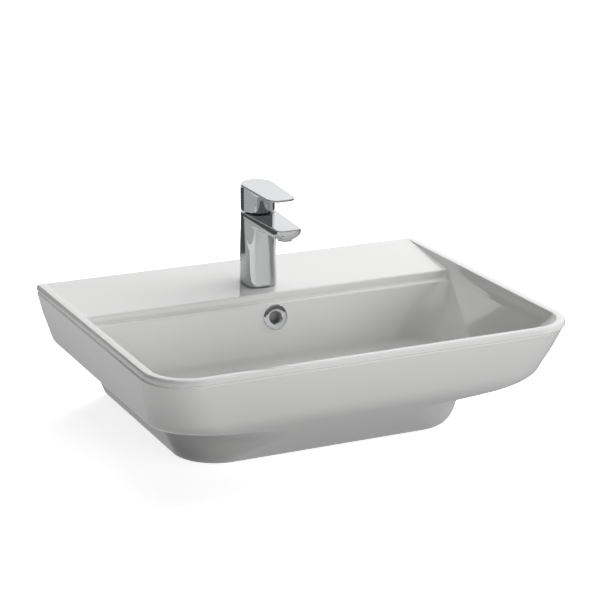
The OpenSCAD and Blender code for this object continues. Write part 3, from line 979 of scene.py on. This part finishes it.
        edge = [(0.0, 2.2), (-0.1, 1.65), (-0.3, 1.1), (-0.6, 0.68), (-1.0, 0.35), (-1.6, 0.1), (-2.2, 0.0)]
        rings = [bowl(self.bowl_side[0][0] + inset, 1.2 - z / self.fall, z) for z, inset in edge]
        rings += [bowl(half(z), -z / self.fall, z) for z in (-3.5, -5.0, -6.5, -8.0, -9.5, -11.0)]
        rings += [bowl(half(z), y, z) for y, z in backs]
        n = 14
        a = rounded(*self.bowl_side[1:], self.bend, n)
        f = rounded(*self.bowl_front[1:], self.bend, n)
        b = rounded(*self.bowl_back, 25, n)
        for i in range(n + 1):
            t = 5 * i / n
            heights = (a[i][1], f[i][1], b[i][1])
            rings.append(Ring(a[i][0], f[i][0], b[i][0], 118 + 2 * t, 46 - 1.6 * t, *heights))
        start = (a[n][0], f[n][0], b[n][0], 128, 38, a[n][1], f[n][1], b[n][1])
        r = self.drain_rim
        end = (r, self.drain_y + r, self.drain_y - r, r, r, self.floor_z, self.floor_z, self.floor_z)
        for i in range(1, 11):
            w, v = i / 10, 1 - i / 10
            rings.append(Ring(*[p * v + q * w for p, q in zip(start, end)]))
        return rings

    def shell_rings(self) -> list[Ring]:
        """Rings of the underside of the bowl and the deck."""
        s, f = moved(self.bowl_side, self.wall), moved(self.bowl_front, self.wall)
        b0 = (self.deck_front - self.wall, -self.deck_front * self.fall - self.wall)
        b1, b2 = (150.0, -118.0), (self.drain_y - 40, -132.0)
        a = rounded(s[1], s[2], s[3], self.bend + self.wall, 4)
        c = rounded(f[1], f[2], f[3], self.bend + self.wall, 4)
        b = rounded(b0, b1, b2, 25 + self.wall, 4)
        middle = [p * 0.6 + q * 0.4 for p, q in ((s[1][0], s[2][0]), (f[1][0], f[2][0]), (b0[0], b1[0]))]
        rings = [
            Ring(s[0][0] + 2, f[0][0] + 2, -20, 60, 10, 2, 2, 20 * self.fall - self.wall),
            Ring(s[1][0], f[1][0], b0[0], 60, 12, -14, -14, b0[1]),
            Ring(*middle, 82, 40, -50, -52, -58),
        ]
        rings += [Ring(a[i][0], c[i][0], b[i][0], 136, 52, a[i][1], c[i][1], b[i][1]) for i in range(5)]
        r = self.drain_rim
        return rings + [level(r, self.drain_y + r, self.drain_y - r, r, r, -132)]

    def duct(self, half: float, width: float) -> bpy.types.Object:
        """The overflow channel's slab, half thick to each side of its middle line."""
        outline = moved(self.duct_line, half) + moved(self.duct_line, -half)[::-1]
        ends = [[(x, -y, z) for y, z in outline] for x in (-width / 2, width / 2)]
        return solid("cutter", self.place, ends)

    def loft(self, name: str, rings: Sequence[Ring], steps: int) -> bpy.types.Object:
        """A closed solid through the rings."""
        return solid(name, self.place, [ring.points(steps) for ring in rings], flat=False)

    def build(self) -> bpy.types.Object:
        """Builds the glazed body.

        Returns:
            The finished piece.
        """
        seat, boss = self.seat_z, self.boss_z
        drain = (0.0, -self.drain_y)
        skin = self.outer_rings(0.0, True)[::-1] + self.rim_rings()[::-1] + self.bowl_rings()
        recess = self.recess_r
        for z in (self.floor_z, seat):
            skin.append(level(recess, self.drain_y + recess, self.drain_y - recess, recess, recess, z))
        body = self.loft("basin_glaze", skin, self.steps)
        hollow = self.loft("cutter", self.outer_rings(self.wall, False), self.coarse)
        deck = -self.tap_y * self.fall
        keep = [
            self.loft("cutter", self.shell_rings(), self.coarse),
            rod(self.place, (*drain, boss), (*drain, -114.5), self.boss_r),
            rod(self.place, (0, -self.tap_y, deck - 16), (0, -self.tap_y, 5), self.tap_pad_r),
        ]
        sides = (-self.bolt_x, self.bolt_x)
        pads = [rod(self.place, (x, -20, self.bolt_z), (x, 2, self.bolt_z), self.bolt_pad_r) for x in sides]
        outside = self.loft("cutter", self.outer_rings(0.0, False), self.coarse)
        channel = combine(self.duct(*self.duct_shell), [outside], Join.COMMON)
        combine(hollow, keep + pads + [channel], Join.CUT)
        over, front = self.overflow_z, -self.deck_front
        tools = [
            hollow,
            rod(self.place, (*drain, boss - 20), (*drain, seat + 5), self.drain_r),
            rod(self.place, (*drain, boss + 9), (*drain, boss + 22), self.groove_r),
            self.duct(*self.duct_bore),
            rod(self.place, (0, -self.tap_y, -60), (0, -self.tap_y, 12), self.tap_hole_r),
            rod(self.place, (0, front - 40, over), (0, front + 4, over), self.overflow_r),
            block(self.place, (-178, -self.wall - 3, -self.height - 1), (178, 1, -88)),
        ]
        tools += [rod(self.place, (x, -60, self.bolt_z), (x, 10, self.bolt_z), self.bolt_r) for x in sides]
        combine(body, tools, Join.CUT)
        smooth(body, 38.0)
        stand_for(body, "basin")
        return body


# ---- tap ----------------------------------------------------------------------------------


def ramp(x: np.ndarray | float, a: float, b: float) -> np.ndarray:
    """0 up to a, 1 from b on, and a smooth rise between."""
    t = np.clip((x - a) / (b - a), 0.0, 1.0)
    return t * t * (3 - 2 * t)


@dataclass
class TapBody:
    """The chromed column with its spout.

    Args:
        place: Frame of the tap.
        height: Height of its top over the deck.
        reach: Distance of the spout's front from the axis.
        aerator: Distance of the aerator from the axis.
        fillet: Softness of the inner edge between the column and the spout.
        tip: Radius of the spout's front corners.
        bore: Radius of the cartridge's bore, and the height of its floor.
        thread: Radius of the cartridge nut's bore, and the height of its floor.
        recess: Radius of the recess over the deck, and the height of its top.
        inlet: Radius of the inlets, and the height of their tops.
        inlet_place: Place of an inlet, mirrored about x = 0.
        seat: Radius of the aerator's seat, and the height of its top.
        socket: Radius of the aerator's thread, and the height of its top.
    """

    place: Frame
    height: float = 105.6
    reach: float = 112.3
    aerator: float = 93.0
    fillet: float = 5.0
    tip: float = 7.0
    bore: Flat = (12.7, 66.0)
    thread: Flat = (15.0, 94.6)
    recess: Flat = (16.5, 3.0)
    inlet: Flat = (5.0, 14.0)
    inlet_place: Flat = (8.0, -3.0)
    seat: Flat = (10.3, 86.0)
    socket: Flat = (9.01, 95.6)

    # Half width, top, lower edge of the side and lowest line: at the spout's root, and the change to its tip.
    spout_lines: ClassVar[list[Flat]] = [(23.6, -5.0), (105.3, -2.2), (96.5, -5.3), (79.0, 5.0)]

    def column(self, x: np.ndarray, y: np.ndarray, z: np.ndarray) -> np.ndarray:
        """Distance from the column, a soft square below that turns into a circle at its top."""
        turn = ramp(z, 40.0, 101.0)
        half = 24.5 - 0.5 * ramp(z, -3.0, 43.0) + 0.1 * turn
        corner = 18.0 + 1.0 * ramp(z, -3.0, 43.0) + 5.1 * turn
        side = box_field(x, y, half, half, np.minimum(corner, half))
        foot = (1.6 + y * math.tan(DECK_FALL) - z) * math.cos(DECK_FALL)
        return common(side, foot, 0.8)

    def along(self, u: np.ndarray) -> np.ndarray:
        """Share of the spout's length at distance u from the axis, 0 at its root and 1 before its tip."""
        return np.clip((u - 12.0) / 88.0, -0.3, 1.2)

    def spout(self, x: np.ndarray, y: np.ndarray, z: np.ndarray) -> np.ndarray:
        """Distance from the spout: a flat sloping top, and an underside that bulges down to its middle."""
        u = -y
        w = self.along(u)
        half, top, side, bottom = (root + change * w for root, change in self.spout_lines)
        slope = 2 * (side - bottom) * x / half**2
        lean = np.hypot(1.0, slope)
        level_z = z - (side - bottom) * (x / half) ** 2
        under = (bottom - level_z) / lean

        def slant(at: Flat, way: Flat) -> np.ndarray:
            """Distance from a slanting face through a point, facing forwards and down."""
            ahead, below = (u - at[0]) * way[0], (level_z - at[1]) * way[1]
            return (ahead - below) / np.hypot(way[0], way[1] * lean)

        chin = slant((100.0, 84.0), (0.53, 0.848))
        nose = slant((108.3, 89.0), (0.914, 0.406))
        plan = corner_field(np.abs(x) - half + self.tip, u - self.reach + self.tip, self.tip)
        form = common(common(under, chin, 4.0), nose, 4.0)
        form = common(common(form, plan, 3.0), z - top, 1.2)
        return np.maximum(form, -(u - 2.0))

    def form(self, x: np.ndarray, y: np.ndarray, z: np.ndarray) -> np.ndarray:
        """Distance from the whole body."""
        low = ramp(84.0 + 5.0 * self.along(-y) - z, 0.0, 9.0)
        whole = joined(self.column(x, y, z), self.spout(x, y, z), 0.6 + self.fillet * low)
        whole = common(whole, z - self.height, 1.0)
        axis, mouth = np.hypot(x, y), np.hypot(x, y + self.aerator)
        tails = np.hypot(np.abs(x) - self.inlet_place[0], y - self.inlet_place[1])
        upper = ((axis, self.bore), (axis, self.thread))
        lower = ((axis, self.recess), (tails, self.inlet), (mouth, self.seat), (mouth, self.socket))
        holes = [np.maximum(away - radius, floor - z) for away, (radius, floor) in upper]
        holes += [np.maximum(away - radius, z - top) for away, (radius, top) in lower]
        for hole in holes:
            whole = cut(whole, hole, 0.3)
        return whole

    def build(self) -> bpy.types.Object:
        """Builds the body.

        Returns:
            The finished piece.
        """
        grid = Field("tap_body_chrome", self.place, (-26, -115, -3.5), (26, 27, 108.0), 0.8)
        piece = grid.surface(self.form)
        stand_for(piece, "tap_body")
        return piece


@dataclass
class Lever:
    """The chromed lever: a round skirt over the cartridge's dome, with a long flat plate.

    Args:
        place: Frame of the tap.
        seam: Height of the skirt's lower edge.
        plate: Height of the plate's top at the axis.
        fall: Slope of the plate towards its front.
        reach: Distance of the plate's front from the axis.
        radius: Radius of the skirt.
        corner: Radius of the plate's front corners.
        dome: Radius of the hollow over the cartridge's dome, and the height of its middle.
        chamber: Radius of the chamber above it, and the height of its top.
        post: Radius of the post for the stem, and the height of its foot.
        cap: Radius of the hole for the index cap, and the height of its axis.
        tilt: Slope of the relief behind the skirt, in degrees.
    """

    place: Frame
    seam: float = 107.0
    plate: float = 144.8
    fall: float = math.tan(math.radians(2.3))
    reach: float = 93.2
    radius: float = 24.2
    corner: float = 16.0
    dome: Flat = (22.1, 99.0)
    chamber: Flat = (19.0, 138.0)
    post: Flat = (6.5, 109.4)
    cap: Flat = (4.0, 119.0)
    tilt: float = 21.0

    def top(self, x: np.ndarray, u: np.ndarray) -> np.ndarray:
        """Height of the plate's top."""
        return self.plate - self.fall * u - 0.4 * (x / self.radius) ** 2 * ramp(u, -10.0, 20.0)

    def form(self, x: np.ndarray, y: np.ndarray, z: np.ndarray) -> np.ndarray:
        """Distance from the lever."""
        u = -y
        round_plan = np.hypot(x, y) - self.radius
        skirt = np.maximum(round_plan, z - self.plate + 3.0)
        half = np.interp(u, (0.0, 40.0, 77.0), (self.radius, 22.2, 20.8))
        strip = corner_field(np.abs(x) - half + self.corner, u - self.reach + self.corner, self.corner)
        plan = np.where(u > 0, strip, round_plan)
        depth = 8.2 * np.clip(1 - (u - 22.0) / 71.0, 0.0, 1.1)
        belly = self.plate - self.fall * u - 2.8 - depth * np.clip(1 - (x / half) ** 2, 0.0, 1.0)
        plate = common(plan, belly - z, 1.6)
        whole = joined(skirt, plate, 4.0 * ramp(z, 120.0, 133.0) * ramp(u, 8.0, 24.0) + 0.3)
        whole = common(whole, z - self.top(x, u), 1.8)
        whole = common(whole, self.seam - z, 0.6)
        axis = np.hypot(x, y)
        dome = np.sqrt(x**2 + y**2 + (z - self.dome[1]) ** 2) - self.dome[0]
        chamber = np.maximum(axis - self.chamber[0], z - self.chamber[1])
        post = np.maximum(axis - self.post[0], self.post[1] - z)
        tilt = math.radians(self.tilt)
        relief = (z - self.seam) * math.cos(tilt) - (y - 1.0) * math.sin(tilt)
        relief = np.maximum(relief, 1.0 - y)
        cap = np.maximum(np.hypot(x, z - self.cap[1]) - self.cap[0], 20.0 - y)
        whole = cut(whole, np.maximum(np.minimum(dome, chamber), -post), 0.3)
        whole = cut(whole, relief, 0.2)
        return cut(whole, cap, 0.3)

    def build(self) -> bpy.types.Object:
        """Builds the lever.

        Returns:
            The finished piece.
        """
        grid = Field("lever_chrome", self.place, (-26, -96.0, 105.3), (26, 26.5, 147.5), 0.7)
        piece = grid.surface(self.form)
        stand_for(piece, "lever")
        return piece


# ---- carried-over solids ------------------------------------------------------------------


def even_shading() -> bpy.types.NodeTree:
    """A modifier group that joins a solid's split faces and shades it smoothly between its sharp edges.

    Returns:
        The geometry group, made once.
    """
    name = "even_shading"
    if name in bpy.data.node_groups:
        return bpy.data.node_groups[name]
    tree = bpy.data.node_groups.new(name, "GeometryNodeTree")
    tree.interface.new_socket(name="Geometry", in_out="INPUT", socket_type="NodeSocketGeometry")
    tree.interface.new_socket(name="Geometry", in_out="OUTPUT", socket_type="NodeSocketGeometry")
    given, angle = tree.nodes.new("NodeGroupInput"), tree.nodes.new("GeometryNodeInputMeshEdgeAngle")
    merge = add(tree, "GeometryNodeMergeByDistance", {"Geometry": given.outputs[0], "Distance": WELD})
    sharp = add(tree, "FunctionNodeCompare", {0: angle.outputs["Unsigned Angle"], 1: math.radians(32)})
    sharp.operation = "GREATER_THAN"
    mark = tree.nodes.new("GeometryNodeStoreNamedAttribute")
    mark.data_type, mark.domain = "BOOLEAN", "EDGE"
    mark.inputs["Name"].default_value = "sharp_edge"
    tree.links.new(merge.outputs[0], mark.inputs["Geometry"])
    tree.links.new(sharp.outputs[0], mark.inputs["Value"])
    shade = add(tree, "GeometryNodeSetShadeSmooth", {0: mark.outputs[0]})
    add(tree, "NodeGroupOutput", {0: shade.outputs[0]})
    return tree


def carry_over(replaced: set[str]) -> None:
    """Dresses the CAD solids that stay.

    Args:
        replaced: Names of the nodes that a piece stands for.
    """
    for name, obj in frame["nodes"].items():
        if name in replaced:
            continue
        obj.data.materials.clear()
        obj.data.materials.append(SLOTS[slot_of(name)].value.material())
        step = obj.modifiers.new("even_shading", "NODES")
        step.node_group = even_shading()
        LOG.info("%s: carried over as %s", name, slot_of(name))


# ---- studio -------------------------------------------------------------------------------


@dataclass(frozen=True)
class Lamp:
    """A soft square lamp.

    Args:
        name: Its name.
        place: Where it stands, in metres.
        aim: What it points at, in metres.
        size: Width and height, in metres.
        watts: Its power.
    """

    name: str
    place: Point
    aim: Point
    size: Flat
    watts: float

    def build(self) -> None:
        """Puts the lamp into the scene."""
        data = bpy.data.lights.new(self.name, "AREA")
        data.shape = "RECTANGLE"
        data.size, data.size_y = self.size
        data.energy = self.watts
        obj = bpy.data.objects.new(self.name, data)
        obj.location = self.place
        obj.rotation_euler = (Vector(self.aim) - Vector(self.place)).to_track_quat("-Z", "Y").to_euler()
        obj.visible_camera = False
        obj.visible_glossy = False
        bpy.context.scene.collection.objects.link(obj)


@dataclass(frozen=True)
class Card:
    """A plain card of the tent round the object, which only the chrome and the glaze mirror.

    Args:
        name: Its name.
        turn: Where it starts and ends round the object, in degrees from the back, clockwise from above.
        rise: Lower and upper edge, in metres. A card of no height lies flat and reaches the middle.
        tone: How light it is.
    """

    name: str
    turn: Flat
    rise: Flat
    tone: float

    def build(self, radius: float) -> None:
        """Puts the card into the scene, at a radius in metres."""
        count = max(1, round((self.turn[1] - self.turn[0]) / 10))
        start, sweep = self.turn[0], self.turn[1] - self.turn[0]
        angles = [math.radians(start + sweep * i / count) for i in range(count + 1)]
        low, high = self.rise
        mesh = bmesh.new()
        rim = [mesh.verts.new((radius * math.sin(a), radius * math.cos(a), low)) for a in angles]
        reach = 0.0 if high == low else radius
        top = [mesh.verts.new((reach * math.sin(a), reach * math.cos(a), high)) for a in angles]
        for i in range(count):
            mesh.faces.new((rim[i], rim[i + 1], top[i + 1], top[i]))
        if high == low:
            bmesh.ops.remove_doubles(mesh, verts=mesh.verts, dist=WELD)
        obj = new_object(self.name, mesh)
        made = bpy.data.materials.new(self.name)
        made.use_nodes = True
        tree = made.node_tree
        tree.nodes.clear()
        glow = add(tree, "ShaderNodeEmission", {"Color": (self.tone, self.tone, self.tone, 1)})
        add(tree, "ShaderNodeOutputMaterial", {"Surface": glow.outputs[0]})
        obj.data.materials.append(made)
        obj.visible_camera = obj.visible_diffuse = obj.visible_transmission = obj.visible_shadow = False


def seen_directly(tree: bpy.types.NodeTree) -> bpy.types.NodeSocket:
    """A mask of the rays that show a background: from the camera, from gloss and through what is clear.

    Args:
        tree: Nodes of the material or the world.

    Returns:
        A socket that is 1 for those rays and 0 for all others.
    """
    path = tree.nodes.new("ShaderNodeLightPath")
    mask = path.outputs["Is Camera Ray"]
    for kind in ("Is Glossy Ray", "Is Transmission Ray"):
        larger = add(tree, "ShaderNodeMath", {0: mask, 1: path.outputs[kind]})
        larger.operation = "MAXIMUM"
        mask = larger.outputs[0]
    return mask


@dataclass
class Studio:
    """Floor, surroundings, lamps, tent and camera."""

    lamps: tuple[Lamp, ...] = (
        Lamp("front", (0.0, -2.59, 0.39), AIM, (1.2, 1.2), 17.5),
        Lamp("front_right", (1.29, -2.24, 0.39), AIM, (1.2, 1.2), 23.0),
        Lamp("right", (2.2, 0.0, 1.5), AIM, (1.6, 1.6), 26.0),
        Lamp("right_high", (1.22, 0.0, 2.42), AIM, (1.8, 1.8), 20.0),
        Lamp("back_right", (1.56, 1.56, 1.5), AIM, (1.6, 1.6), 22.0),
        Lamp("back", (0.0, 1.22, 2.42), AIM, (1.8, 1.8), 14.0),
        Lamp("front_bounce", (0.0, -0.85, 0.015), (0.0, -0.85, 1.0), (0.8, 0.8), 2.2),
        Lamp("left_bounce", (-0.85, 0.1, 0.015), (-0.85, 0.1, 1.0), (0.8, 0.8), 3.8),
    )
    tent: tuple[Card, ...] = (
        Card("card_front_low", (105.0, 210.0), (0.0, 0.15), 0.30),
        Card("card_left_low", (-150.0, -45.0), (0.0, 0.15), 0.48),
        Card("card_back_low", (-45.0, 75.0), (0.0, 0.15), 0.08),
        Card("card_right_low", (75.0, 105.0), (0.0, 0.15), 0.40),
        Card("card_back_left", (-45.0, -15.0), (0.15, 0.4), 0.40),
        Card("card_back_left_high", (-45.0, -15.0), (0.4, 0.9), 0.08),
        Card("card_round", (75.0, 315.0), (0.15, 0.9), 0.14),
        Card("card_high", (105.0, 405.0), (0.9, 1.6), 0.30),
        Card("card_high_right", (45.0, 105.0), (0.9, 1.6), 0.08),
        Card("card_roof", (-180.0, 180.0), (1.6, 1.6), 0.55),
        Card("card_floor", (-180.0, 180.0), (0.002, 0.002), 0.45),
    )
    tent_radius: float = 0.9
    sky: float = 0.05
    camera_place: Point = (-1.1306, -2.4204, 0.9974)
    heading: float = 25.0
    dip: float = 16.98
    lens: float = 123.06
    shift: Flat = (-0.5 / 600, 0.5 / 600)

    def floor(self) -> None:
        """Makes the pale floor, which keeps the object's shadow."""
        mesh = bmesh.new()
        bmesh.ops.create_grid(mesh, x_segments=2, y_segments=2, size=30.0)
        obj = new_object("floor", mesh)
        made = bpy.data.materials.new("pale_floor")
        made.use_nodes = True
        tree = made.node_tree
        tree.nodes.clear()
        seen = add(tree, "ShaderNodeBsdfDiffuse", {"Color": (0.8, 0.8, 0.8, 1)})
        hidden = add(tree, "ShaderNodeBsdfDiffuse", {"Color": (0.12, 0.12, 0.12, 1)})
        spot = tree.nodes.new("ShaderNodeTexCoord")
        reach = add(tree, "ShaderNodeVectorMath", {0: spot.outputs["Object"]})
        reach.operation = "LENGTH"
        inputs = {"Value": reach.outputs["Value"], "From Min": 0.4, "From Max": 2.5}
        inputs |= {"To Min": 0.8, "To Max": 1.0}
        rise = add(tree, "ShaderNodeMapRange", inputs)
        glow = add(tree, "ShaderNodeEmission", {"Strength": rise.outputs["Result"]})
        both = add(tree, "ShaderNodeAddShader", {0: seen.outputs[0], 1: glow.outputs[0]})
        inputs = {"Fac": seen_directly(tree), 1: hidden.outputs[0], 2: both.outputs[0]}
        pick = add(tree, "ShaderNodeMixShader", inputs)
        add(tree, "ShaderNodeOutputMaterial", {"Surface": pick.outputs[0]})
        obj.data.materials.append(made)

    def surroundings(self) -> None:
        """Makes the white surroundings and their soft light."""
        world = bpy.data.worlds.new("surroundings")
        bpy.context.scene.world = world
        world.use_nodes = True
        tree = world.node_tree
        tree.nodes.clear()
        full = (1.0, 1.0, 1.0, 1.0)
        light = add(tree, "ShaderNodeBackground", {"Color": full, "Strength": self.sky})
        white = add(tree, "ShaderNodeBackground", {"Color": full, "Strength": 1.0})
        inputs = {"Fac": seen_directly(tree), 1: light.outputs[0], 2: white.outputs[0]}
        pick = add(tree, "ShaderNodeMixShader", inputs)
        add(tree, "ShaderNodeOutputWorld", {"Surface": pick.outputs[0]})

    def camera(self) -> None:
        """Sets up the camera."""
        data = bpy.data.cameras.new("camera")
        data.lens, data.sensor_width = self.lens, 36.0
        data.shift_x, data.shift_y = self.shift
        data.clip_end = 100.0
        obj = bpy.data.objects.new("camera", data)
        obj.location = self.camera_place
        obj.rotation_euler = (math.radians(90 - self.dip), 0.0, math.radians(-self.heading))
        bpy.context.scene.collection.objects.link(obj)
        bpy.context.scene.camera = obj

    def build(self) -> None:
        """Builds the whole studio."""
        self.camera()
        self.floor()
        self.surroundings()
        for lamp in self.lamps:
            lamp.build()
        for card in self.tent:
            card.build(self.tent_radius)
        bpy.context.scene.view_settings.view_transform = "Standard"


def main() -> None:
    """Builds every piece and the studio."""
    logging.basicConfig(level=logging.INFO, format="%(message)s")
    rim, tap = frames()
    Studio().build()
    Basin(rim).build()
    TapBody(tap).build()
    Lever(tap).build()
    carry_over({"basin", "tap_body", "lever"})


if __name__ == "__main__":
    main()
